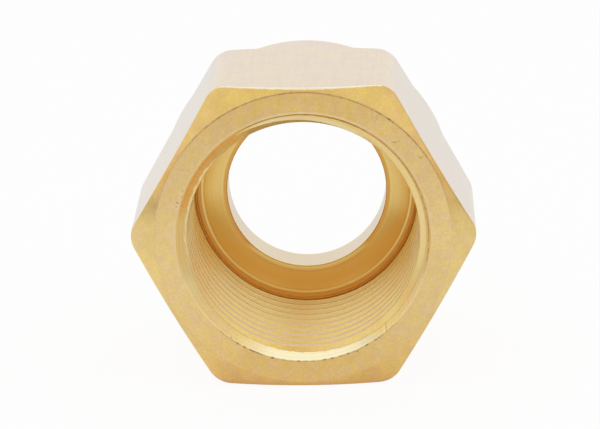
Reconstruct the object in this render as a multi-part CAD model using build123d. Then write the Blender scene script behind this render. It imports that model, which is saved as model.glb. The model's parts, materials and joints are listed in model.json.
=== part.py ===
"""Gas regulator inlet nut: one piece of brass, turned and bored from hexagon bar.

The nut lies on one flat of its hexagon, as it would on a bench. All sizes are in
millimetres, +Z is up, and the origin is on the bench under the middle of the nut.
The bore's axis lies along Y, half way up the hexagon, and the threaded mouth faces -Y.

Until the last step the nut is built round the Z axis with its mouth at Z = 0, and a
place along the axis is called a depth: the distance from the mouth. The thread itself
is left out: the bore has the diameter that the thread's crests stand on.
"""
from build123d import *
from math import radians, sqrt, tan
import os

# Hexagon bar
flats = 28.0             # width across the flats
bar_edge_radius = 2.2    # rounding of the bar's six long edges

# Turned outside
hex_length = 19.0        # mouth to the back of the hexagon
neck_length = 6.0        # round neck behind the hexagon
neck_step = 0.15         # how far the neck is turned in below the flats
neck_chamfer = 1.9       # 45 degree chamfer round the back of the neck
face_step = 0.4          # how far the flat ring at the mouth lies inside the flats
corner_angle = 30.0      # chamfer on the hexagon's corners, measured from the end face

# Inlet thread, 0.903 inch by 14 to the inch, right hand
thread_major = 22.94     # diameter at the roots
thread_minor = 21.3      # diameter at the crests, which is the bore in this solid
mouth_margin = 0.18      # how far the 45 degree countersink opens beyond the roots

# Seat for the nipple's shoulder, and the hole that its tail passes through
seat_depth = 18.85       # mouth to where the seat's cone would meet the thread's bore
seat_angle = 21.0        # fall of the seat towards the hole, measured from the end face
seat_root_radius = 1.5   # hollow corner between the bore and the seat
nipple_hole = 15.2       # diameter of the through hole
hole_edge_radius = 0.6   # rounding where the seat runs into the hole
rear_break = 0.6         # small chamfer where the hole leaves the back

CUT_BEYOND = 1.0         # how far a cut runs past the surface that it opens through


def hexagon_bar(length):
    """Length of hexagon bar standing on Z = 0, with two of its flats square to Y."""
    section = RegularPolygon(flats / 2, 6, major_radius=False)
    section = fillet(section.vertices(), bar_edge_radius)
    return extrude(section, amount=length)


def turned_outside():
    """The round shape that the lathe leaves: it trims the bar's corners at both ends and cuts the neck."""
    length = hex_length + neck_length
    fall = tan(radians(corner_angle))
    face_radius = flats / 2 - face_step
    neck_radius = flats / 2 - neck_step
    reach = flats / sqrt(3)
    half_section = Polyline(
        (0, 0, 0),
        (face_radius, 0, 0),
        (reach, 0, (reach - face_radius) * fall),
        (reach, 0, hex_length - (reach - neck_radius) * fall),
        (neck_radius, 0, hex_length),
        (neck_radius, 0, length - neck_chamfer),
        (neck_radius - neck_chamfer, 0, length),
        (0, 0, length),
        close=True,
    )
    return revolve(make_face(half_section), axis=Axis.Z)


def bore():
    """Everything cut away inside: countersink, thread bore, sloping seat and through hole."""
    length = hex_length + neck_length
    bore_radius = thread_minor / 2
    mouth_radius = thread_major / 2 + mouth_margin
    hole_radius = nipple_hole / 2
    seat_fall = tan(radians(seat_angle))
    hole_depth = seat_depth + (bore_radius - hole_radius) * seat_fall
    seat_corner = (bore_radius, 0, seat_depth)
    hole_corner = (hole_radius, 0, hole_depth)
    half_section = make_face(Polyline(
        (0, 0, -CUT_BEYOND),
        (mouth_radius + CUT_BEYOND, 0, -CUT_BEYOND),
        (bore_radius, 0, mouth_radius - bore_radius),
        seat_corner,
        hole_corner,
        (hole_radius, 0, length - rear_break),
        (hole_radius + rear_break + CUT_BEYOND, 0, length + CUT_BEYOND),
        (0, 0, length + CUT_BEYOND),
        close=True,
    ))
    half_section = rounded(half_section, seat_corner, seat_root_radius)
    half_section = rounded(half_section, hole_corner, hole_edge_radius)
    return revolve(half_section, axis=Axis.Z)


def rounded(section, corner, radius):
    """The section with its corner nearest to the given point rounded."""
    nearest = section.vertices().sort_by_distance(corner)[0]
    return fillet(nearest, radius)


def inlet_nut():
    """The finished nut, still standing on its mouth round the Z axis."""
    return hexagon_bar(hex_length + neck_length) & turned_outside() - bore()


def lie_on_flat(nut):
    """Lays the nut on a flat with its mouth towards -Y, centred over the origin."""
    half_length = (hex_length + neck_length) / 2
    return Pos(0, -half_length, flats / 2) * Rot(-90, 0, 0) * nut


os.makedirs("parts", exist_ok=True)
export_step(lie_on_flat(inlet_nut()), "parts/inlet_nut.step")
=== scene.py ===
"""Looks of the gas regulator inlet nut.

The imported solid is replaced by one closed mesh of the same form, with the real thread cut in its
bore, and finished as machined brass. The nut lies on one flat of its hexagon.

Sizes are in millimetres until a mesh is made. A place along the nut's axis is a depth, the
distance behind the mouth. A place round the axis is a turn, in degrees clockwise from the top as
the mouth is seen. A section of the nut is its outline in one half plane through the axis.
"""

import json
from math import asin, cos, degrees, hypot, pi, radians, sin, sqrt, tan

import bpy
import numpy as np
from mathutils import Matrix, Vector


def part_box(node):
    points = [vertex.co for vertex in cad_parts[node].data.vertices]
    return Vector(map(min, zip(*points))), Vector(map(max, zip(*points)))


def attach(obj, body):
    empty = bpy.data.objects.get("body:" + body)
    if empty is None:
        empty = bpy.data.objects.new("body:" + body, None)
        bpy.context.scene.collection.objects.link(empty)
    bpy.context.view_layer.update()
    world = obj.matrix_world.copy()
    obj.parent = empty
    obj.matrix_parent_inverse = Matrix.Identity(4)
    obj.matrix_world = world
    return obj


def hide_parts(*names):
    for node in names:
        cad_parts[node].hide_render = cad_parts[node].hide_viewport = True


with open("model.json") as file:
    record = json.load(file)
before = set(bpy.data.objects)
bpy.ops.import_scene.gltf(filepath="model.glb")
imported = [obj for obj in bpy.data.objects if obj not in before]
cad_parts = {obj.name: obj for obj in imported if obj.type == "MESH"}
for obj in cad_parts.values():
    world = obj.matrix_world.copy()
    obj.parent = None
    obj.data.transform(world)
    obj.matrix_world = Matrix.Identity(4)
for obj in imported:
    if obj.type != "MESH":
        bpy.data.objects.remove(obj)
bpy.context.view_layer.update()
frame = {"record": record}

MM = 0.001
mounts = {mount["name"]: mount for mount in frame["record"]["mounts"]}
cad_low, cad_high = (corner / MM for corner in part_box("inlet_nut"))

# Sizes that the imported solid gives
flats = cad_high.z - cad_low.z
length = cad_high.y - cad_low.y
axis_height = (cad_low.z + cad_high.z) / 2
bore_radius = mounts["inlet_thread"]["dims"]["r_mm"]
hole_radius = mounts["nipple_hole"]["dims"]["r_mm"]

# Outside, as in the solid
bar_edge_radius = 2.2
hex_length = 19.0
face_radius = flats / 2 - 0.4
neck_radius = flats / 2 - 0.15
neck_chamfer = 1.9
corner_fall = tan(radians(30.0))

# Inside, as in the solid
mouth_radius = 11.65
root_start = 18.565          # depth at which the bore's wall begins to turn into the seat
seat_root_radius = 0.50      # hollow corner between the bore and the seat
rear_break = 0.6

# The seat falls from the hollow corner towards the hole and is itself slightly hollow
step_slope = 5.5             # slopes are in degrees from the end face; a narrow step ends the corner
step_width = 0.284
seat_outer_slope = 28.0
seat_inner_slope = 11.0
seat_inner_radius = 8.00     # where the seat meets a narrow rim round the hole
rim_slope = 8.0
rim_width = 0.28

# Thread: 14 turns to the inch, 60 degree form, right hand
pitch = 25.4 / 14
root_radius = 11.47
root_half_width = pitch / 16
deep_widening = 0.20         # how much wider the groove's deepest turns are, on each side
widening_start = 6.0         # depths between which the groove widens
widening_end = 14.0
flank_rise = 1 / tan(radians(30.0))
groove_start = 0.30          # depth of the groove's middle at the top of its first turn
thread_end = 18.45           # depth at which the groove has run out
run_out = 50.0               # degrees of turn over which it gets shallower
first_turn = -85.95          # the mesh starts here, ahead of the place where the groove begins

# Ragged lip on the edge where the countersink meets the first crest, at the mouth's left
lip_from = 255.0             # turns between which it stands
lip_to = 318.0
lip_taper = 12.0             # degrees over which it rises at each end
lip_width = 0.34
lip_height = 0.19

# Small edge breaks that the solid leaves out
sharp_break = 0.08
neck_root_break = 0.04
mouth_break = 0.10
crest_break = 0.07
root_round = 0.10

# The dark diamond in front of the nut that its metal mirrors, in degrees as the nut sees it
dark_half_width = 62.0
dark_half_height = 40.0
dark_middle = 8.0            # height of its middle
dark_fade = 1.16             # it has faded out at this many times its size
dark_colour = (0.63, 0.42, 0.25, 1.0)

# A bright low strip straight ahead, below the dark: where the dark sets in above it and beside it
strip_top = (1.0, 5.0)
strip_side = (8.0, 14.0)

# Camera, found from the outlines in the photograph
lens = 255.3
sensor = 36.0
camera_distance = 388.4      # from the camera to the plane of the mouth, along its view
camera_pitch = 13.56         # degrees that it looks down
camera_yaw = 1.22
camera_roll = 0.79
mouth_offset = (0.287, -2.186)   # where the mouth's middle lies from the middle of the view


def hexagon_radius(turn):
    """Distance from the axis to the rounded hexagon in the direction of a turn."""
    off_flat = abs((turn + 30.0) % 60.0 - 30.0)
    corner_middle = (flats / 2 - bar_edge_radius) / cos(radians(30.0))
    tangent_turn = degrees(asin(corner_middle / 2 / hypot(corner_middle / 2, flats / 2)))
    if off_flat <= tangent_turn:
        return flats / 2 / cos(radians(off_flat))
    off_corner = radians(30.0 - off_flat)
    aside = corner_middle * sin(off_corner)
    return corner_middle * cos(off_corner) + sqrt(bar_edge_radius ** 2 - aside ** 2)


def outside_corners(turn):
    """Corners of the section from the rear of the hole round the outside to the mouth."""
    hexagon = hexagon_radius(turn)
    rear = length - rear_break
    return [
        ("hole_rear", hole_radius, rear, sharp_break, 2),
        ("rear_hole", hole_radius + rear_break, length, sharp_break, 2),
        ("rear_rim", neck_radius - neck_chamfer, length, sharp_break, 2),
        ("neck_rear", neck_radius, length - neck_chamfer, sharp_break, 2),
        ("neck_root", neck_radius, hex_length, neck_root_break, 1),
        ("hexagon_rear", hexagon, hex_length - (hexagon - neck_radius) * corner_fall, sharp_break, 2),
        ("hexagon_front", hexagon, (hexagon - face_radius) * corner_fall, sharp_break, 2),
        ("face_rim", face_radius, 0.0, sharp_break, 2),
    ]


def groove_corners(number, turn):
    """Corners of one cut of the thread's groove, or none where the groove has ended or not begun."""
    middle = groove_start + pitch * (number + turn / 360.0)
    lead = mouth_radius - root_radius
    countersink_end = mouth_radius - bore_radius
    least_step = 0.01            # the burr leaves the cut edge at least this far from the countersink's end
    left = min(1.0, (thread_end - middle) / (pitch * run_out / 360.0))
    if left <= 0.0 or middle + root_half_width <= lead:
        return []
    root = bore_radius + (root_radius - bore_radius) * left
    widened = max(0.0, min(1.0, (middle - widening_start) / (widening_end - widening_start)))
    half_root = (root_half_width + deep_widening * widened) * left
    half_mouth = half_root + (root - bore_radius) / flank_rise
    corners = []
    if middle - half_mouth > countersink_end:
        corners.append((f"near_crest_{number}", bore_radius, middle - half_mouth, crest_break, 2))
    elif middle - half_root > lead:
        cut = (lead + flank_rise * (middle - half_root)) / (1 + flank_rise) + burr(turn)
        cut = min(cut, countersink_end - least_step)
        corners.append((f"near_crest_{number}", mouth_radius - cut, cut, crest_break, 2))
    else:
        corners.append((f"near_crest_{number}", root, lead, crest_break, 2))
    if middle - half_root > lead:
        corners.append((f"near_root_{number}", root, middle - half_root, root_round, 2))
    corners.append((f"far_root_{number}", root, middle + half_root, root_round, 2))
    if middle + half_mouth >= countersink_end:
        corners.append((f"far_crest_{number}", bore_radius, middle + half_mouth, crest_break, 2))
    else:
        cut = (flank_rise * (middle + half_root) - lead) / (flank_rise - 1)
        corners.append((f"far_crest_{number}", mouth_radius - cut, cut, crest_break, 2))
    return corners


def lip_share(turn):
    """How much of the lip is left at a turn, from none to all of it."""
    turn = turn % 360.0
    ends = min(turn - lip_from, lip_to - turn) / lip_taper
    waves = ((0.14, 71), (0.12, 43), (0.10, 113))
    ragged = 0.80 + sum(height * sin(radians(turn * number)) for height, number in waves)
    return max(0.0, min(1.0, ends)) * ragged


def countersink_corners(name, turn):
    """The countersink's inner edge, behind a lip where there is one."""
    end = mouth_radius - bore_radius
    share = lip_share(turn)
    outer = Vector((bore_radius + lip_width * share, end - lip_width * share))
    inner = Vector((bore_radius, end - lip_height * share))
    edge = (f"countersink_{name}", inner.x, inner.y, crest_break, 1)
    if share == 0.0:
        return [edge]
    lip = []
    for part, along in (("outer", 0.0), ("near", 0.15), ("far", 0.75)):
        point = outer.lerp(inner, along)
        lip.append((f"lip_{part}_{name}", point.x, point.y, 0.0, 0))
    return lip + [edge]


def burr(turn):
    """How far the cut edge at the mouth's lower side wanders, in millimetres."""
    waves = ((0.015, 61, 0), (0.015, 37, 40), (0.02, 117, 0))
    return sum(height * sin(radians(turn * number + start)) for height, number, start in waves)


def inside_corners(turn):
    """Corners of the section from the mouth through the thread and over the seat to the hole."""
    countersink_end = mouth_radius - bore_radius
    corners = [("mouth", mouth_radius, 0.0, mouth_break, 3)]
    first_cut = groove_corners(0, turn)
    if first_cut and first_cut[0][2] > countersink_end:
        corners += countersink_corners("early", turn) + first_cut
    elif not first_cut or first_cut[-1][2] < countersink_end:
        corners += first_cut + countersink_corners("late", turn)
    else:
        corners += first_cut
    turns = int((thread_end - groove_start) / pitch) + 2
    for number in range(1, turns):
        corners += groove_corners(number, turn)
    return corners + seat_corners()


def arc(start, radius, first_slope, last_slope, steps):
    """Points after the start of an arc that runs towards the axis from one slope to another."""
    turn_in = radius if last_slope < first_slope else -radius
    first, last = radians(first_slope), radians(last_slope)
    points = []
    for step in range(1, steps + 1):
        slope = first + (last - first) * step / steps
        points.append(Vector((start.x - turn_in * (sin(first) - sin(slope)),
                              start.y + turn_in * (cos(slope) - cos(first)))))
    return points


def seat_corners():
    """Points from the end of the bore's wall over the hollow corner, the step and the seat into the hole.

    The straight parts have a point close to each end, which keeps their shading even.
    """
    start = Vector((bore_radius, root_start))
    root = [start] + arc(start, seat_root_radius, 90.0, step_slope, 14)
    along_step = Vector((-cos(radians(step_slope)), sin(radians(step_slope)))) * step_width
    step = [root[-1] + along_step * share for share in (0.1, 0.9, 1.0)]
    span = sin(radians(seat_outer_slope)) - sin(radians(seat_inner_slope))
    seat_curve = (step[-1].x - seat_inner_radius) / span
    hollow = arc(step[-1], seat_curve, seat_outer_slope, seat_inner_slope, 10)
    seat = [step[-1].lerp(hollow[0], 0.1)] + hollow
    along_rim = Vector((-cos(radians(rim_slope)), sin(radians(rim_slope)))) * rim_width
    rim = [seat[-1] + along_rim * share for share in (0.15, 0.9, 1.0)]
    edge_radius = (rim[-1].x - hole_radius) / (1 - sin(radians(rim_slope)))
    edge = arc(rim[-1], edge_radius, rim_slope, 90.0, 8)
    named = [("seat_root", point) for point in root] + [("seat_step", point) for point in step]
    named += [("seat_face", point) for point in seat + rim] + [("hole_edge", point) for point in edge]
    return [(f"{name}.{place}", point.x, point.y, 0.0, 0) for place, (name, point) in enumerate(named)]


def rounded(corners):
    """Points of a closed section with rounded corners, by names that neighbouring sections share."""
    most_of_edge = 0.45
    points = []
    for place, (name, radius, depth, rounding, steps) in enumerate(corners):
        corner = Vector((radius, depth))
        if steps == 0:
            points.append(((name, 0), corner))
            continue
        before = Vector(corners[place - 1][1:3]) - corner
        after = Vector(corners[(place + 1) % len(corners)][1:3]) - corner
        half_turn = (pi - before.angle(after)) / 2
        reach = min(rounding * tan(half_turn), most_of_edge * before.length, most_of_edge * after.length)
        start = corner + before.normalized() * reach
        end = corner + after.normalized() * reach
        middle = corner + (before.normalized() + after.normalized()).normalized() * reach / sin(half_turn)
        for step in range(steps + 1):
            share = step / steps
            first = sin((1 - share) * 2 * half_turn) / sin(2 * half_turn)
            last = sin(share * 2 * half_turn) / sin(2 * half_turn)
            points.append(((name, step), middle + (start - middle) * first + (end - middle) * last))
    return points


def turns_of_sections():
    """Turns at which the nut is cut into sections: close together round the hexagon's corners."""
    corner_half = 4.05
    flat_steps = 36
    corner_steps = 12
    turns = []
    for side in range(6):
        start = first_turn + 60.0 * side
        flat_span = 60.0 - 2 * corner_half
        turns.extend(start + flat_span * step / flat_steps for step in range(flat_steps))
        start += flat_span
        turns.extend(start + 2 * corner_half * step / corner_steps for step in range(corner_steps))
    return turns


def in_the_frame(point, turn):
    """A section's point as a place in the row's frame, in metres."""
    across = point.x * sin(radians(turn))
    up = point.x * cos(radians(turn))
    return MM * across, MM * (cad_low.y + point.y), MM * (axis_height + up)


def one_groove_on(name):
    """A name in the first section as the last one knows it, a whole turn further along the groove."""
    label, step = name
    stem, _, number = label.rpartition("_")
    if number == "late":
        return f"{stem}_early", step
    if number.isdigit():
        return f"{stem}_{int(number) - 1}", step
    return name


SURFACE_AFTER = {
    "seat_root": "seat",
    "seat_step": "seat",
    "seat_face": "seat",
    "hole_edge": "seat",
    "hole_rear": "face",
    "rear_hole": "face",
    "rear_rim": "face",
    "neck_rear": "flat",
    "neck_root": "face",
    "hexagon_rear": "flat",
    "hexagon_front": "face",
    "face_rim": "face",
}
SURFACES = ["face", "flat", "thread", "seat"]


def surface_after(name):
    """Which of the surfaces follows a named point of a section."""
    label = name[0].split(".")[0]
    return SURFACES.index(SURFACE_AFTER.get(label, "thread"))


def faces_between(left, right):
    """Faces that join two neighbouring sections, with the surface that each belongs to."""
    left = left + left[:1]
    right = right + right[:1]
    on_right = {name for name, _ in right}
    faces = []
    at_left = at_right = 0
    while at_left < len(left) - 1 or at_right < len(right) - 1:
        surface = surface_after(left[at_left][0])
        next_left = left[at_left + 1][0] if at_left < len(left) - 1 else None
        next_right = right[at_right + 1][0] if at_right < len(right) - 1 else None
        if next_left == next_right:
            corners = left[at_left][1], left[at_left + 1][1], right[at_right + 1][1], right[at_right][1]
            at_left += 1
            at_right += 1
        elif next_left is not None and next_left not in on_right:
            corners = left[at_left][1], left[at_left + 1][1], right[at_right][1]
            at_left += 1
        else:
            corners = left[at_left][1], right[at_right + 1][1], right[at_right][1]
            at_right += 1
        faces.append((corners, surface))
    return faces


def nut_mesh():
    """The whole nut as one closed mesh."""
    corners, sections = [], []
    for turn in turns_of_sections():
        points = rounded(inside_corners(turn) + outside_corners(turn))
        sections.append([(name, len(corners) + place) for place, (name, _) in enumerate(points)])
        corners.extend(in_the_frame(point, turn) for _, point in points)
    closing = [(one_groove_on(name), vertex) for name, vertex in sections[0]]
    faces = []
    for left, right in zip(sections, sections[1:] + [closing]):
        faces.extend(faces_between(left, right))
    mesh = bpy.data.meshes.new("inlet_nut_brass")
    mesh.from_pydata(corners, [], [face for face, _ in faces])
    mesh.polygons.foreach_set("material_index", [surface for _, surface in faces])
    mesh.polygons.foreach_set("use_smooth", [True] * len(faces))
    mesh.update()
    shade_by_area(mesh)
    return mesh


def shade_by_area(mesh):
    """Gives each corner the mean direction of its faces by area, so that narrow edge breaks look rounded."""
    normals = np.zeros((len(mesh.vertices), 3))
    for face in mesh.polygons:
        normals[list(face.vertices)] += np.array(face.normal) * face.area
    normals /= np.linalg.norm(normals, axis=1)[:, None]
    mesh.normals_split_custom_set_from_vertices(normals.tolist())


def plug(tree, socket, value):
    """Gives a socket another node's output or a plain value."""
    if isinstance(value, bpy.types.NodeSocket):
        tree.links.new(value, socket)
    else:
        socket.default_value = value


def node(tree, kind, settings=None, **inputs):
    """Adds a node. An input is another node's socket or a plain value, by the socket's name or number."""
    made = tree.nodes.new(kind)
    for name, value in (settings or {}).items():
        setattr(made, name, value)
    for name, value in inputs.items():
        key = int(name[1:]) if name.startswith("n") and name[1:].isdigit() else name.replace("_", " ")
        plug(tree, made.inputs[key], value)
    return made


def mixed(tree, kind, share, first, second):
    """First and second mixed by a share. The kind is FLOAT or RGBA."""
    # Each kind has its own sockets: the share, both inputs and the output
    sockets = {"FLOAT": (0, 2, 3, 0), "RGBA": (0, 6, 7, 2)}[kind]
    mix = tree.nodes.new("ShaderNodeMix")
    mix.data_type = kind
    for place, value in zip(sockets[:3], (share, first, second)):
        plug(tree, mix.inputs[place], value)
    return mix.outputs[sockets[3]]


def blend(tree, share, first, second):
    """Two colours mixed by a share."""
    return mixed(tree, "RGBA", share, first, second)


def between(tree, share, first, second):
    """Two numbers mixed by a share."""
    return mixed(tree, "FLOAT", share, first, second)


def maths(tree, operation, first, second=0.0, third=0.0):
    """One step of arithmetic."""
    return node(tree, "ShaderNodeMath", {"operation": operation}, n0=first, n1=second, n2=third).outputs[0]


def ramp(tree, value, low, high, to_low=0.0, to_high=1.0):
    """A value eased from one range into another."""
    return node(tree, "ShaderNodeMapRange", {"interpolation_type": "SMOOTHSTEP"}, Value=value, From_Min=low,
                From_Max=high, To_Min=to_low, To_Max=to_high).outputs[0]


def spread(tree, noise, low=0.0, high=1.0):
    """Noise whose middle values are eased over a range from low to high."""
    return ramp(tree, noise, 0.35, 0.65, low, high)


def level(tree, share, at_none, at_all):
    """A number that follows a share: one value at none of it and another at all of it."""
    return ramp(tree, share, 0.0, 1.0, at_none, at_all)


def beyond(tree, distance, radius, soft):
    """One beyond a radius and nothing inside it, eased over a soft width on each side."""
    return ramp(tree, distance, radius - soft, radius + soft)


def grain(tree, place, size, detail, seed):
    """Noise whose patches are about a size across, in millimetres."""
    made = node(tree, "ShaderNodeTexNoise", {"noise_dimensions": "4D"}, Vector=place, Scale=1 / size,
                Detail=detail, W=seed)
    return made.outputs[0]


def vectors(tree, operation, first, second=(0.0, 0.0, 0.0)):
    """One step of arithmetic on vectors."""
    return node(tree, "ShaderNodeVectorMath", {"operation": operation}, n0=first, n1=second)


def scaled(tree, vector, factor):
    """A vector or colour times a number."""
    return node(tree, "ShaderNodeVectorMath", {"operation": "SCALE"}, n0=vector, Scale=factor).outputs[0]


def direction(turn):
    """The unit vector away from the axis at a turn."""
    return sin(radians(turn)), 0.0, cos(radians(turn))


def facing(tree, outward, turn):
    """How much a point's side of the axis lies towards a turn: one at the turn, nothing a quarter away."""
    return vectors(tree, "DOT_PRODUCT", outward, direction(turn)).outputs["Value"]


def within(tree, outward, turn, half_span):
    """One within a half span of a turn, easing off over the next 15 degrees."""
    eased_off = half_span + 15.0
    return ramp(tree, facing(tree, outward, turn), cos(radians(eased_off)), cos(radians(half_span)))


def product(tree, *shares):
    """Several numbers multiplied."""
    total = shares[0]
    for share in shares[1:]:
        total = maths(tree, "MULTIPLY", total, share)
    return total


def scaled_noise(tree, place, size, seed, reach):
    """Noise that runs from minus to plus a reach."""
    noise = maths(tree, "SUBTRACT", grain(tree, place, size=size, detail=2.0, seed=seed), 0.5)
    return maths(tree, "MULTIPLY", noise, 2 * reach)


def rings(tree, distance, size, low, high, seed):
    """A level between low and high that changes only with the distance from the axis, like a tool's marks."""
    wave = node(tree, "ShaderNodeTexNoise", {"noise_dimensions": "1D"}, W=maths(tree, "ADD", distance, seed),
                Scale=1 / size, Detail=2.0).outputs[0]
    return spread(tree, wave, low, high)


def places(tree):
    """A point's place, distance from the axis, direction away from the axis and depth, in millimetres."""
    place = node(tree, "ShaderNodeTexCoord").outputs["Object"]
    from_mouth = vectors(tree, "SUBTRACT", place, (0.0, cad_low.y * MM, axis_height * MM)).outputs[0]
    place = scaled(tree, from_mouth, 1 / MM)
    across = vectors(tree, "MULTIPLY", place, (1.0, 0.0, 1.0)).outputs[0]
    distance = vectors(tree, "LENGTH", across).outputs["Value"]
    outward = vectors(tree, "NORMALIZE", across).outputs[0]
    depth = node(tree, "ShaderNodeSeparateXYZ", Vector=place).outputs["Y"]
    return place, distance, outward, depth


def ring_mask(tree, distance, radius, half_width):
    """One on a circle round the axis, falling to nothing at a half width from it."""
    off = maths(tree, "ABSOLUTE", maths(tree, "SUBTRACT", distance, radius))
    return ramp(tree, off, half_width, 0.0)


def finish(tree, shader, **values):
    """Gives the shader's sockets their values, each by the socket's name."""
    for name, value in values.items():
        plug(tree, shader.inputs[name.replace("_", " ")], value)


def new_material(name, film):
    """Bare brass under a clear film of the given weight, ready for its finish."""
    material = bpy.data.materials.new(name)
    material.use_nodes = True
    tree = material.node_tree
    shader = tree.nodes["Principled BSDF"]
    finish(tree, shader, Metallic=1.0, Coat_Weight=film, Coat_Roughness=0.15, Coat_IOR=1.5)
    return material, tree, shader


def brass(tree, place, first, second, size, seed):
    """Soft patches of two brass tones, which fine specks darken and lighten."""
    patches = ramp(tree, grain(tree, place, size=size, detail=4.0, seed=seed), 0.40, 0.62)
    specks = spread(tree, grain(tree, place, size=0.22, detail=2.0, seed=seed + 3.0), 0.96, 1.035)
    return scaled(tree, blend(tree, patches, first, second), specks)


# Small marks that handling has left: both ends as turn, distance from the axis and depth, half width,
# and the level that the colour falls or rises to
FACE_MARKS = [
    ((42.5, 12.12, 0.0), (43.7, 12.35, 0.0), 0.09, 0.70),
    ((43.7, 12.35, 0.0), (44.5, 12.65, 0.0), 0.09, 0.80),
    ((42.2, 12.32, 0.0), (43.1, 12.60, 0.0), 0.13, 1.12),
    ((54.5, 13.02, 0.0), (55.5, 13.08, 0.0), 0.10, 0.68),
    ((55.5, 13.08, 0.0), (55.4, 13.25, 0.0), 0.09, 0.75),
    ((53.8, 13.16, 0.0), (54.5, 13.26, 0.0), 0.12, 1.10),
    ((35.6, 13.60, 0.0), (36.0, 13.62, 0.0), 0.17, 0.45),
    ((31.8, 12.50, 0.0), (31.2, 13.40, 0.0), 0.16, 0.90),
    ((29.6, 12.95, 0.0), (28.6, 13.45, 0.0), 0.12, 0.92),
    ((286.6, 11.82, 0.0), (286.8, 12.02, 0.0), 0.10, 0.50),
    ((284.9, 11.90, 0.0), (285.1, 11.98, 0.0), 0.09, 0.62),
    ((289.6, 11.74, 0.0), (290.4, 11.72, 0.0), 0.09, 0.60),
    ((292.4, 11.78, 0.0), (292.9, 11.86, 0.0), 0.09, 0.70),
    ((155.3, 11.72, 0.0), (156.0, 11.72, 0.0), 0.12, 0.45),
    ((194.5, 11.72, 0.0), (195.1, 11.72, 0.0), 0.10, 0.55),
]
MOUTH_MARKS = [
    ((137.2, 10.95, 0.70), (139.6, 11.62, 0.03), 0.09, 0.72),
    ((138.4, 10.95, 0.70), (140.8, 11.62, 0.03), 0.10, 1.18),
    ((128.3, 10.75, 0.90), (129.0, 10.95, 0.70), 0.10, 0.70),
    ((215.6, 11.48, 0.17), (215.9, 11.55, 0.10), 0.10, 0.60),
]
FLAT_MARKS = [
    ((30.9, 15.96, 6.30), (31.9, 15.92, 7.90), 0.16, 0.80),
]


def spot(turn, radius, depth):
    """A place on the nut from its turn, distance from the axis and depth, as places() gives it."""
    return Vector(direction(turn)) * radius + Vector((0.0, depth, 0.0))


def marked(tree, colour, place, marks):
    """A colour with short scratches and dents drawn on it."""
    for start, end, half_width, tone in marks:
        scratch = mark(tree, place, spot(*start), spot(*end), half_width)
        colour = scaled(tree, colour, level(tree, scratch, 1.0, tone))
    return colour


def mark(tree, place, first, last, half_width):
    """One along a short line, falling to nothing at a half width from it."""
    line = last - first
    from_first = vectors(tree, "SUBTRACT", place, first).outputs[0]
    along = vectors(tree, "DOT_PRODUCT", from_first, line / line.length_squared).outputs["Value"]
    held = node(tree, "ShaderNodeMath", {"operation": "ADD", "use_clamp": True}, n0=along, n1=0.0).outputs[0]
    off_line = vectors(tree, "SUBTRACT", from_first, scaled(tree, line, held)).outputs[0]
    return ramp(tree, vectors(tree, "LENGTH", off_line).outputs["Value"], half_width, 0.0)


# Zones round the axis in which the metal looks different, most of them by painted light and shade: the turn
# of the middle, and half the span
FACE_PAINTED_LIGHT_LEFT = (265.0, 50.0)
FACE_PAINTED_LIGHT_RIGHT = (62.0, 25.0)
RIM_SHADE_DARKEST = (10.0, 55.0)
MOUTH_HIGHLIGHT_ZONE = (352.0, 92.0)
MOUTH_SHADE_TICKS = (178.0, 36.0)
COUNTERSINK_STREAKS_AND_SHADE = (309.0, 18.0)
COUNTERSINK_SHADED = (45.0, 50.0)
LIP_ZONE = (286.0, 24.0)
WALL_BOTTOM = (180.0, 28.0)
WALL_RIGHT = (75.0, 40.0)
SEAT_BOTTOM = (180.0, 35.0)
SEAT_LIGHT_LEFT = (292.0, 18.0)
SEAT_LIGHT_RIGHT = (75.0, 20.0)

# The face's yellow and pink tones, each in the middle and at the sides, where they are paler as painted light
RING_TONES = [
    ((0.895, 0.63, 0.185, 1), (0.925, 0.685, 0.255, 1)),
    ((0.885, 0.61, 0.25, 1), (0.915, 0.66, 0.31, 1)),
]
# The same tones on the hexagon's corners, each low down, high up and at the sides: darker low down as painted
# shade, paler at the sides as painted light
CORNER_TONES = [
    ((0.86, 0.565, 0.145, 1), (0.87, 0.645, 0.16, 1), (0.935, 0.695, 0.23, 1)),
    ((0.86, 0.545, 0.19, 1), (0.86, 0.61, 0.19, 1), (0.935, 0.675, 0.28, 1)),
]
# The face's painted lines of light and shade: the rim's painted shade in general and where it is darkest, the
# corners' edges, and the painted highlight outside the mouth
RIM_SHADE_TONES = (0.78, 0.54, 0.34, 1), (0.46, 0.30, 0.17, 1)
BOTTOM_EDGE_SHADE_TONE = (0.80, 0.49, 0.17, 1)
RIGHT_EDGE_REFLECTION_TONE = (0.84, 0.56, 0.22, 1)
TOP_EDGE_HIGHLIGHT_TONE = (1.0, 0.95, 0.78, 1)
MOUTH_HIGHLIGHT_TONE = (0.96, 0.76, 0.50, 1)
# Both tones of the flats' patches
FLAT_TONES = (0.88, 0.65, 0.33, 1), (0.86, 0.62, 0.38, 1)


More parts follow.
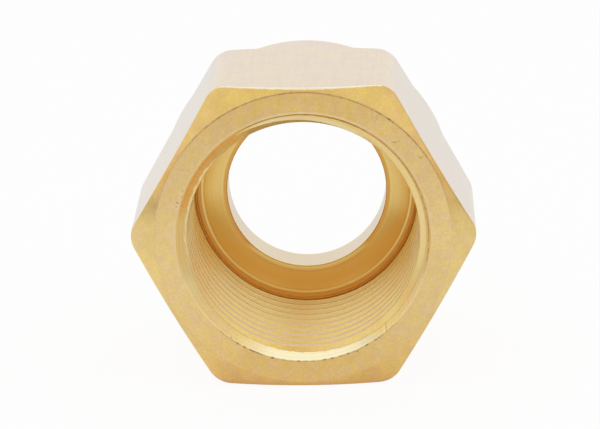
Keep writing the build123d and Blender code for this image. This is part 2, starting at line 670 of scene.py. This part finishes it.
def face_tones(tree, place, distance, outward):
    """Yellow and pink patches on the ring round the mouth and on the corners outside it, with painted light
    and shade: paler at the sides, darker low down on the corners and raised in two zones.
    """
    aside = ramp(tree, maths(tree, "ABSOLUTE", facing(tree, outward, 90.0)), 0.35, 0.95)
    above = ramp(tree, facing(tree, outward, 0.0), -0.3, 0.3)
    tones = [blend(tree, aside, middle, side) for middle, side in RING_TONES]
    ring = brass(tree, place, *tones, size=1.2, seed=0.0)
    tones = [blend(tree, aside, blend(tree, above, low, high), side) for low, high, side in CORNER_TONES]
    corner = brass(tree, place, *tones, size=1.2, seed=8.0)
    clouds = ramp(tree, grain(tree, place, size=2.2, detail=2.0, seed=31.0), 0.35, 0.60, 0.93, 1.01)
    colour = blend(tree, beyond(tree, distance, face_radius, 0.05), ring, scaled(tree, corner, clouds))
    # Painted light in two zones round the face
    lighter = maths(tree, "MAXIMUM", within(tree, outward, *FACE_PAINTED_LIGHT_LEFT),
                    within(tree, outward, *FACE_PAINTED_LIGHT_RIGHT))
    return scaled(tree, colour, level(tree, lighter, 1.0, 1.05))


def with_rim_shade_line(tree, colour, distance, outward, broken, beads):
    """A colour with the broken line of painted shade on the face's outer rim, which is strongest near the
    top.
    """
    up = facing(tree, outward, 5.0)
    near_top = ramp(tree, up, 0.45, 0.80, 0.30, 1.0)
    upper_half = ramp(tree, up, -0.3, 0.3, 0.4, 1.0)
    on_rim = product(tree, ring_mask(tree, distance, face_radius, 0.13), broken, beads, near_top, upper_half)
    return blend(tree, on_rim, colour, blend(tree, within(tree, outward, *RIM_SHADE_DARKEST), *RIM_SHADE_TONES))


def with_edge_light_and_shade(tree, colour, place, broken):
    """A colour with painted lines where the corners meet the flats: brown painted shade below, an orange
    painted reflection at the right and a pale painted highlight on top.
    """
    parts = node(tree, "ShaderNodeSeparateXYZ", Vector=place)
    wander = scaled_noise(tree, place, size=0.6, seed=19.0, reach=0.09)
    height = maths(tree, "ADD", parts.outputs["Z"], wander)
    off_middle = maths(tree, "ABSOLUTE", parts.outputs["X"])
    height = maths(tree, "ADD", height, ramp(tree, off_middle, 5.0, 1.0, 0.0, 0.07))
    colour = blend(tree, ramp(tree, height, 0.55 - flats / 2, 0.10 - flats / 2), colour, BOTTOM_EDGE_SHADE_TONE)
    to_right = vectors(tree, "DOT_PRODUCT", place, direction(60.0)).outputs["Value"]
    right_edge_reflection = product(tree, ramp(tree, to_right, flats / 2 - 0.20, flats / 2 - 0.08), broken)
    colour = blend(tree, right_edge_reflection, colour, RIGHT_EDGE_REFLECTION_TONE)
    return blend(tree, ramp(tree, height, flats / 2 - 0.14, flats / 2 - 0.06), colour, TOP_EDGE_HIGHLIGHT_TONE)


def turned_face():
    """End faces and chamfers: satin, with a sheen that runs in rings and yellow and pink patches."""
    material, tree, shader = new_material("turned_face", 1.0)
    place, distance, outward, _ = places(tree)
    broken = ramp(tree, grain(tree, place, size=0.5, detail=2.0, seed=12.0), 0.25, 0.45)
    beads = ramp(tree, grain(tree, place, size=0.35, detail=2.0, seed=23.0), 0.40, 0.60, 0.55, 1.0)
    colour = face_tones(tree, place, distance, outward)
    colour = with_rim_shade_line(tree, colour, distance, outward, broken, beads)
    colour = with_edge_light_and_shade(tree, colour, place, broken)
    # A painted highlight just outside the mouth's edge, along its upper part
    mouth_highlight = product(tree, ring_mask(tree, distance, mouth_radius + 0.12, 0.09),
                           within(tree, outward, *MOUTH_HIGHLIGHT_ZONE), beads)
    colour = blend(tree, mouth_highlight, colour, MOUTH_HIGHLIGHT_TONE)
    rough = spread(tree, grain(tree, place, size=0.9, detail=3.0, seed=7.0), 0.26, 0.36)
    finish(tree, shader, Base_Color=marked(tree, colour, place, FACE_MARKS), Roughness=rough, Anisotropic=0.6,
           Tangent=outward)
    return material


def drawn_flat():
    """The bar's drawn flats and the neck: smooth, with faint streaks along the bar."""
    material, tree, shader = new_material("drawn_flat", 1.0)
    place = places(tree)[0]
    along_bar = vectors(tree, "MULTIPLY", place, (1.0, 0.04, 1.0)).outputs[0]
    streaks = ramp(tree, grain(tree, along_bar, size=0.35, detail=3.0, seed=21.0), 0.30, 0.70, 0.96, 1.04)
    colour = scaled(tree, brass(tree, place, *FLAT_TONES, size=2.0, seed=1.0), streaks)
    finish(tree, shader, Base_Color=marked(tree, colour, place, FLAT_MARKS), Roughness=0.25)
    return material


# Tones of the thread: its patches and its crests, whose paler tone is a painted highlight, both again deep in
# the bore, where painted light makes them paler and the patches' pair is for the sides and the bottom, and
# the specks of the first turn at the right
THREAD_TONES = (0.95, 0.745, 0.235, 1), (0.94, 0.71, 0.28, 1)
CREST_HIGHLIGHT_TONE = (1.0, 0.79, 0.44, 1)
DEEP_LIGHT_TONES = (0.94, 0.745, 0.345, 1), (0.95, 0.745, 0.33, 1)
DEEP_CREST_HIGHLIGHT_TONE = (1.0, 0.87, 0.41, 1)
FIRST_TURN_TONES = (1.0, 0.73, 0.28, 1), (1.0, 0.80, 0.39, 1)
# Parts of the wall whose tone is painted light and shade: middle turn, half span, the depths over which it
# fades, and the tone. The last one keeps its tone down the whole wall
WALL_LIGHT_AND_SHADE_TONES = [
    (337.0, 16.0, 3.0, 5.0, (1.0, 0.66, 0.20, 1)),
    (118.0, 10.0, 6.0, 9.0, (1.0, 0.83, 0.36, 1)),
    (268.0, 25.0, length, length + 1.0, (1.0, 0.77, 0.35, 1)),
]
# Tones of the countersink, and the parts of it with a tone or a level of their own, which are painted light
# and shade: middle turn, half span, and the tone or level
COUNTERSINK_TONES = (0.99, 0.75, 0.29, 1), (0.98, 0.72, 0.34, 1)
COUNTERSINK_PAINTED_LIGHT = [
    (5.0, 42.0, (1.0, 0.80, 0.42, 1)),
    (75.0, 30.0, (1.0, 0.86, 0.44, 1)),
    (268.0, 16.0, (1.0, 0.82, 0.40, 1)),
]
COUNTERSINK_LIGHT_AND_SHADE_LEVELS = [
    (225.0, 18.0, 0.91),
    (341.0, 3.0, 1.09),
    (22.0, 5.0, 1.06),
]
# The streaks with painted shade at the left, the painted highlight at the bottom, the painted shade under the
# edge, the torn lip's painted highlight and the painted shade in the gaps beside it, and the edge round the
# mouth with its painted highlight and dark ticks of painted shade
STREAK_AND_SHADE_TONES = (1.0, 0.60, 0.175, 1), (1.0, 0.74, 0.29, 1)
PAINTED_HIGHLIGHT_TONE = (0.82, 0.75, 0.49, 1)
SHADED_TONE = (0.80, 0.46, 0.16, 1)
LIP_HIGHLIGHT_TONE = (1.0, 0.79, 0.37, 1)
LIP_GAP_SHADE_TONE = (0.55, 0.36, 0.20, 1)
MOUTH_EDGE_HIGHLIGHT_AND_SHADE = (1.0, 0.82, 0.42, 1), (0.34, 0.22, 0.12, 1)


def painted_highlight_patch(tree, place, distance, outward):
    """One on the painted highlight at the lowest part of the countersink, outside the thread's ragged cut
    edge.
    """
    lead = mouth_radius - root_radius
    cut_start = (lead + flank_rise * (groove_start - root_half_width)) / (1 + flank_rise)
    edge_start = mouth_radius - cut_start
    edge_fall = flank_rise * pitch / (2 * pi) / (1 + flank_rise)
    sides = node(tree, "ShaderNodeSeparateXYZ", Vector=outward)
    turn = maths(tree, "ARCTAN2", sides.outputs["X"], sides.outputs["Z"])
    turn = maths(tree, "WRAP", turn, 2 * pi, 0.0)
    ragged = scaled_noise(tree, scaled(tree, outward, mouth_radius), size=0.12, seed=17.0, reach=0.75)
    edge = maths(tree, "SUBTRACT", maths(tree, "MULTIPLY_ADD", turn, -edge_fall, edge_start), ragged)
    outside_edge = ramp(tree, maths(tree, "SUBTRACT", distance, edge), 0.0, 0.07)
    wander = scaled_noise(tree, place, size=0.12, seed=11.0, reach=0.24)
    low = maths(tree, "ADD", facing(tree, outward, 175.0), wander)
    return product(tree, ramp(tree, low, 0.82, 0.94), outside_edge)


def countersink_tones(tree, place, distance, outward, torn, highlight_patch):
    """The countersink's brass, paler than the thread's, with painted light and shade that change round the
    mouth.
    """
    colour = brass(tree, place, *COUNTERSINK_TONES, size=1.0, seed=4.0)
    # Paler parts round the mouth are painted light
    for turn, half_span, tone in COUNTERSINK_PAINTED_LIGHT:
        colour = blend(tree, within(tree, outward, turn, half_span), colour, tone)
    round_mouth = grain(tree, scaled(tree, outward, mouth_radius), size=0.16, detail=3.0, seed=37.0)
    inwards = ramp(tree, distance, mouth_radius, bore_radius + 0.2, 0.0, 0.5)
    streaks = maths(tree, "ADD", spread(tree, round_mouth, 0.0, 0.5), inwards)
    streaked_shade = blend(tree, streaks, *STREAK_AND_SHADE_TONES)
    # Streaks with painted shade on the countersink's left
    colour = blend(tree, within(tree, outward, *COUNTERSINK_STREAKS_AND_SHADE), colour, streaked_shade)
    # The paler patch at the bottom is a painted highlight
    colour = blend(tree, highlight_patch, colour, PAINTED_HIGHLIGHT_TONE)
    colour = scaled(tree, colour, rings(tree, distance, size=0.08, low=0.93, high=1.04, seed=6.0))
    # Painted light and shade by turn
    for turn, half_span, tone in COUNTERSINK_LIGHT_AND_SHADE_LEVELS:
        colour = scaled(tree, colour, level(tree, within(tree, outward, turn, half_span), 1.0, tone))
    shaded = product(tree, ring_mask(tree, distance, mouth_radius - 0.17, 0.10),
                     within(tree, outward, *COUNTERSINK_SHADED), ramp(tree, torn, 0.35, 0.55, 0.4, 1.0))
    return blend(tree, shaded, colour, SHADED_TONE)


def thread_tones(tree, place, outward, depth, on_crest):
    """The thread's brass, with a painted highlight on its crests and painted light that makes it more even
    with depth.
    """
    colour = brass(tree, place, *THREAD_TONES, size=0.8, seed=2.0)
    # The crests' paler tone is a painted highlight
    colour = blend(tree, on_crest, colour, CREST_HIGHLIGHT_TONE)
    # Deep in the bore, painted light makes the tone paler and more even
    deep_light = blend(tree, within(tree, outward, *WALL_BOTTOM), *DEEP_LIGHT_TONES)
    colour = blend(tree, ramp(tree, depth, 8.0, 13.0), colour, deep_light)
    deep_crest_highlight = product(tree, on_crest, ramp(tree, depth, 9.0, 13.0))
    colour = blend(tree, deep_crest_highlight, colour, DEEP_CREST_HIGHLIGHT_TONE)
    fine = spread(tree, grain(tree, place, size=0.14, detail=3.0, seed=41.0))
    in_front = product(tree, within(tree, outward, *WALL_RIGHT), ramp(tree, depth, 2.3, 1.7))
    colour = blend(tree, in_front, colour, blend(tree, fine, *FIRST_TURN_TONES))
    # Painted light and shade in parts of the wall
    for turn, half_span, fades_from, fades_to, tone in WALL_LIGHT_AND_SHADE_TONES:
        there = product(tree, within(tree, outward, turn, half_span), ramp(tree, depth, fades_to, fades_from))
        colour = blend(tree, there, colour, tone)
    return colour


def lip_masks(tree, distance, outward, depth, torn):
    """Where the torn lip on the countersink's inner edge stands, and where the painted shade in the gaps
    beside it lies.
    """
    near_lip = within(tree, outward, *LIP_ZONE)
    on_lip = product(tree, ring_mask(tree, distance, bore_radius + 0.16, 0.20), ramp(tree, depth, 1.15, 1.05))
    on_lip = product(tree, ramp(tree, on_lip, 0.0, 0.4), near_lip, ramp(tree, torn, 0.36, 0.50, 0.35, 1.0))
    beside = product(tree, ring_mask(tree, distance, bore_radius, 0.07), ramp(tree, depth, 1.6, 1.4),
                     near_lip, ramp(tree, torn, 0.52, 0.60))
    return on_lip, beside


def with_mouth_edge_light_and_shade(tree, colour, place, distance, outward):
    """A colour with the edge round the mouth, a pale painted highlight with dark ticks of painted shade along
    its lowest part.
    """
    on_edge = ramp(tree, distance, mouth_radius - 0.10, mouth_radius - 0.05)
    ticks = ramp(tree, grain(tree, place, size=0.45, detail=2.0, seed=14.0), 0.42, 0.66, 0.35, 1.0)
    dark = product(tree, within(tree, outward, *MOUTH_SHADE_TICKS), ticks)
    return blend(tree, on_edge, colour, blend(tree, dark, *MOUTH_EDGE_HIGHLIGHT_AND_SHADE))


def cut_thread():
    """The thread and the countersink in front of it, whose lowest part has a paler painted highlight."""
    material, tree, shader = new_material("cut_thread", 0.3)
    place, distance, outward, depth = places(tree)
    torn = grain(tree, place, size=0.30, detail=3.0, seed=29.0)
    highlight_patch = painted_highlight_patch(tree, place, distance, outward)
    to_cone = maths(tree, "ADD", distance, depth)
    on_countersink = ramp(tree, ring_mask(tree, to_cone, mouth_radius, 0.25), 0.0, 0.5)
    on_crest = ramp(tree, ring_mask(tree, distance, bore_radius, 0.10), 0.0, 0.5)
    on_lip, lip_gap_shade = lip_masks(tree, distance, outward, depth, torn)
    colour = blend(tree, on_countersink, thread_tones(tree, place, outward, depth, on_crest),
                   countersink_tones(tree, place, distance, outward, torn, highlight_patch))
    # The lip's painted highlight, then painted shade in the gaps beside it
    colour = blend(tree, on_lip, colour, LIP_HIGHLIGHT_TONE)
    colour = blend(tree, lip_gap_shade, colour, LIP_GAP_SHADE_TONE)
    colour = with_mouth_edge_light_and_shade(tree, colour, place, distance, outward)
    flank_rough = ramp(tree, depth, 6.0, 14.0, 0.28, 0.33)
    crest_rough = ramp(tree, depth, 4.0, 14.0, 0.42, 0.26)
    thread_rough = between(tree, on_crest, flank_rough, crest_rough)
    up = facing(tree, outward, 0.0)
    upper_sides = product(tree, ramp(tree, up, -0.45, -0.10), ramp(tree, up, 0.94, 0.80))
    smoothed = maths(tree, "MAXIMUM", highlight_patch, product(tree, on_lip, 0.7))
    countersink_rough = between(tree, smoothed, level(tree, upper_sides, 0.34, 0.80), 0.30)
    finish(tree, shader, Base_Color=marked(tree, colour, place, MOUTH_MARKS),
           Roughness=between(tree, on_countersink, thread_rough, countersink_rough))
    return material


# Narrow rings on the seat, of painted light and shade beside the rim, painted shade beside the step and a
# painted highlight on the step: distance from the axis and half width
BESIDE_RIM_LIGHT_AND_SHADE = (8.12, 0.15)
BESIDE_STEP_SHADE = (9.80, 0.09)
STEP_HIGHLIGHT_RING = (9.98, 0.14)
# Where the hollow corner and the bore's wall begin, with half the width over which the tone changes
CORNER_START = (10.11, 0.05)
WALL_START = (10.475, 0.075)
# Tones from the seat to the hole, with a painted highlight on the step, painted shade in the hollow corner,
# painted light at the sides, painted shade and a painted highlight on the hole's edge, and a paler painted
# reflection in the hole. The rim's and the hole edge's are for all round, then for the bottom
SEAT_TONES = (0.93, 0.62, 0.17, 1), (0.92, 0.61, 0.15, 1)
STEP_HIGHLIGHT_TONE = (1.0, 0.80, 0.32, 1)
CORNER_SHADE_TONE = (0.94, 0.50, 0.11, 1)
WALL_END_TONE = (0.99, 0.61, 0.22, 1)
SEAT_SIDE_LIGHT_TONE = (1.0, 0.72, 0.25, 1)
RIM_RING_TONES = (1.0, 0.68, 0.23, 1), (0.97, 0.66, 0.22, 1)
HOLE_EDGE_SHADE_AND_HIGHLIGHT = (0.86, 0.48, 0.11, 1), (1.0, 0.80, 0.26, 1)
HOLE_REFLECTION_TONE = (0.82, 0.65, 0.40, 1)


def on_hole_edge(tree, distance, at_bottom):
    """One on the line where the rim turns into the hole, which is narrower at the bottom."""
    middle = level(tree, at_bottom, hole_radius + 0.22, hole_radius + 0.12)
    half_width = level(tree, at_bottom, 0.24, 0.14)
    off = maths(tree, "ABSOLUTE", maths(tree, "SUBTRACT", distance, middle))
    off = maths(tree, "MINIMUM", maths(tree, "DIVIDE", off, half_width), 1.0)
    return ramp(tree, maths(tree, "SUBTRACT", 1.0, off), 0.0, 0.6)


def seat_shade(tree, distance, at_bottom):
    """How dark the seat is by its turning marks, and by painted light and shade in the two narrow rings at
    its ends.
    """
    rim_light_and_shade = level(tree, at_bottom, 1.04, 0.87)
    shade = between(tree, ring_mask(tree, distance, *BESIDE_RIM_LIGHT_AND_SHADE), 1.0, rim_light_and_shade)
    step_shade = level(tree, ring_mask(tree, distance, *BESIDE_STEP_SHADE), 1.0, 0.90)
    turning_marks = rings(tree, distance, size=0.25, low=0.985, high=1.015, seed=3.0)
    return product(tree, shade, step_shade, turning_marks)


def turned_seat():
    """The seat, its hollow corner, and the hole with its rounded edge, with painted light and shade on them.
    """
    material, tree, shader = new_material("turned_seat", 0.3)
    place, distance, outward, _ = places(tree)
    in_corner = beyond(tree, distance, *CORNER_START)
    wall_end = beyond(tree, distance, *WALL_START)
    on_rim = ramp(tree, distance, seat_inner_radius + 0.02, seat_inner_radius - 0.02)
    in_hole = ramp(tree, distance, hole_radius + 0.02, hole_radius + 0.004)
    at_bottom = within(tree, outward, *SEAT_BOTTOM)
    patches = spread(tree, grain(tree, place, size=1.3, detail=3.0, seed=5.0))
    colour = blend(tree, patches, *SEAT_TONES)
    # A painted highlight on the step and painted shade in the hollow corner
    colour = blend(tree, ring_mask(tree, distance, *STEP_HIGHLIGHT_RING), colour, STEP_HIGHLIGHT_TONE)
    colour = blend(tree, in_corner, colour, CORNER_SHADE_TONE)
    colour = blend(tree, wall_end, colour, WALL_END_TONE)
    # Painted light at the seat's sides
    painted_light_side = maths(tree, "MAXIMUM", within(tree, outward, *SEAT_LIGHT_LEFT), within(tree, outward, *SEAT_LIGHT_RIGHT))
    colour = blend(tree, product(tree, painted_light_side, ramp(tree, distance, 9.85, 9.75)), colour, SEAT_SIDE_LIGHT_TONE)
    colour = blend(tree, on_rim, colour, blend(tree, at_bottom, *RIM_RING_TONES))
    # Painted shade on the hole's edge all round, a painted highlight at its bottom, and a paler painted
    # reflection in the hole
    edge = blend(tree, at_bottom, *HOLE_EDGE_SHADE_AND_HIGHLIGHT)
    colour = blend(tree, on_hole_edge(tree, distance, at_bottom), colour, edge)
    colour = blend(tree, in_hole, colour, HOLE_REFLECTION_TONE)
    colour = scaled(tree, colour, seat_shade(tree, distance, at_bottom))
    rough = between(tree, in_corner, 0.30, 0.42)
    rough = between(tree, wall_end, rough, 0.22)
    rough = between(tree, on_rim, rough, 0.30)
    rough = between(tree, in_hole, rough, 0.25)
    plain = maths(tree, "MAXIMUM", in_corner, on_rim)
    finish(tree, shader, Base_Color=colour, Roughness=rough, Anisotropic=level(tree, plain, 0.5, 0.0),
           Tangent=outward)
    return material


def make_nut():
    """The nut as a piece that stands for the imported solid."""
    nut = bpy.data.objects.new("inlet_nut_machined", nut_mesh())
    bpy.context.scene.collection.objects.link(nut)
    for material in (turned_face(), drawn_flat(), cut_thread(), turned_seat()):
        nut.data.materials.append(material)
    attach(nut, "root")
    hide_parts("inlet_nut")


def white_where_seen(tree, lit, seen, glossy):
    """Mixes what lamps light with what the camera sees and what shows in the metal."""
    path = node(tree, "ShaderNodeLightPath")
    in_metal = node(tree, "ShaderNodeMixShader", n0=path.outputs["Is Glossy Ray"], n1=lit, n2=glossy)
    direct = node(tree, "ShaderNodeMath", {"operation": "MAXIMUM"},
                  n0=path.outputs["Is Camera Ray"], n1=path.outputs["Is Transmission Ray"])
    return node(tree, "ShaderNodeMixShader", n0=direct.outputs[0], n1=in_metal.outputs[0], n2=seen)


def make_world():
    """Soft light from all round, white where it is seen, and a studio with a dark front for the metal."""
    world = bpy.data.worlds.new("studio")
    bpy.context.scene.world = world
    world.use_nodes = True
    tree = world.node_tree
    tree.nodes.clear()
    ray = node(tree, "ShaderNodeTexCoord").outputs["Generated"]
    parts = node(tree, "ShaderNodeSeparateXYZ", Vector=ray)
    up = maths(tree, "ARCSINE", parts.outputs["Z"])
    to_side = maths(tree, "ARCTAN2", parts.outputs["X"], maths(tree, "MULTIPLY", parts.outputs["Y"], -1.0))
    to_side = maths(tree, "ABSOLUTE", to_side)
    off_middle = maths(tree, "ABSOLUTE", maths(tree, "SUBTRACT", up, radians(dark_middle)))
    off = maths(tree, "ADD", maths(tree, "DIVIDE", to_side, radians(dark_half_width)),
                maths(tree, "DIVIDE", off_middle, radians(dark_half_height)))
    inside = ramp(tree, off, dark_fade, 1.0)
    off_strip = maths(tree, "MAXIMUM", ramp(tree, up, *map(radians, strip_top)),
                      ramp(tree, to_side, *map(radians, strip_side)))
    dark = maths(tree, "MULTIPLY", inside, off_strip)
    behind = ramp(tree, parts.outputs["Y"], -0.1, 0.4)
    bright = blend(tree, behind, (0.95, 0.95, 0.95, 1), (0.88, 0.88, 0.88, 1))
    studio = blend(tree, dark, bright, dark_colour)
    glossy = node(tree, "ShaderNodeBackground", Color=studio, Strength=1.0)
    lit = node(tree, "ShaderNodeBackground", Color=(1, 1, 1, 1), Strength=0.5)
    seen = node(tree, "ShaderNodeBackground", Color=(1, 1, 1, 1), Strength=1.0)
    surface = white_where_seen(tree, lit.outputs[0], seen.outputs[0], glossy.outputs[0])
    out = node(tree, "ShaderNodeOutputWorld")
    tree.links.new(surface.outputs[0], out.inputs["Surface"])


def floor_material():
    """A floor that the camera sees as white with a soft shadow.

    In the metal it is dark ahead of the nut, but for a strip straight ahead, and dull elsewhere.
    """
    material = bpy.data.materials.new("pale_floor")
    material.use_nodes = True
    tree = material.node_tree
    tree.nodes.clear()
    lit = node(tree, "ShaderNodeBsdfDiffuse", Color=(0.8, 0.8, 0.8, 1))
    faint = node(tree, "ShaderNodeBsdfDiffuse", Color=(0.14, 0.14, 0.14, 1))
    glow = node(tree, "ShaderNodeEmission", Color=(1, 1, 1, 1), Strength=0.908)
    seen = node(tree, "ShaderNodeAddShader", n0=faint.outputs[0], n1=glow.outputs[0])
    place = node(tree, "ShaderNodeSeparateXYZ", Vector=node(tree, "ShaderNodeTexCoord").outputs["Object"])
    ahead = maths(tree, "MULTIPLY", place.outputs["Y"], -1.0)
    aside = maths(tree, "ABSOLUTE", place.outputs["X"])
    slant = maths(tree, "DIVIDE", aside, maths(tree, "MAXIMUM", ahead, 0.001))
    far_enough = ramp(tree, ahead, 0.09, 0.15)
    off_strip = ramp(tree, slant, 0.10, 0.22)
    dark = product(tree, far_enough, off_strip)
    behind = ramp(tree, ahead, 0.005, -0.012)
    colour = blend(tree, behind, (0.7, 0.7, 0.7, 1), (0.3, 0.3, 0.3, 1))
    colour = blend(tree, dark, colour, (0.35, 0.24, 0.14, 1))
    darker = node(tree, "ShaderNodeBsdfDiffuse", Color=colour)
    glow_beside, glow_in_dark, glow_behind = 0.41, 0.10, 0.66
    strength = between(tree, behind, level(tree, dark, glow_beside, glow_in_dark), glow_behind)
    low_glow = node(tree, "ShaderNodeEmission", Color=(1, 1, 1, 1), Strength=strength)
    in_metal = node(tree, "ShaderNodeAddShader", n0=darker.outputs[0], n1=low_glow.outputs[0])
    surface = white_where_seen(tree, lit.outputs[0], seen.outputs[0], in_metal.outputs[0])
    out = node(tree, "ShaderNodeOutputMaterial")
    tree.links.new(surface.outputs[0], out.inputs["Surface"])
    return material


def make_floor():
    """A wide pale floor."""
    sides = 96
    floor_radius = 2.0
    angles = [2 * pi * side / sides for side in range(sides)]
    ring = [(floor_radius * cos(angle), floor_radius * sin(angle), 0.0) for angle in angles]
    mesh = bpy.data.meshes.new("floor")
    mesh.from_pydata(ring, [], [list(range(sides))])
    mesh.materials.append(floor_material())
    floor = bpy.data.objects.new("floor", mesh)
    bpy.context.scene.collection.objects.link(floor)


def make_lamp():
    """One wide soft lamp overhead, a little in front of the nut."""
    height = 0.8
    ahead = 0.17
    wide, deep = 1.10, 0.44
    radiance = 0.4
    light = bpy.data.lights.new("overhead", "AREA")
    light.shape = "RECTANGLE"
    light.size = wide
    light.size_y = deep
    light.energy = radiance * pi * wide * deep
    lamp = bpy.data.objects.new("overhead", light)
    lamp.location = (0.0, -ahead, height)
    bpy.context.scene.collection.objects.link(lamp)


def make_camera():
    """The camera at the photograph's place."""
    data = bpy.data.cameras.new("camera")
    data.sensor_width = sensor
    data.lens = lens
    camera = bpy.data.objects.new("camera", data)
    aim = (Matrix.Rotation(radians(90.0), 4, "X")
           @ Matrix.Rotation(radians(camera_yaw), 4, "Y")
           @ Matrix.Rotation(radians(-camera_pitch), 4, "X")
           @ Matrix.Rotation(radians(-camera_roll), 4, "Z"))
    mouth = Vector((0.0, cad_low.y, axis_height))
    back = aim @ Vector((-mouth_offset[0], -mouth_offset[1], camera_distance))
    camera.matrix_world = Matrix.Translation((mouth + back) * MM) @ aim
    bpy.context.scene.collection.objects.link(camera)
    bpy.context.scene.camera = camera


make_nut()
make_world()
make_floor()
make_lamp()
make_camera()
bpy.context.scene.view_settings.view_transform = "Standard"
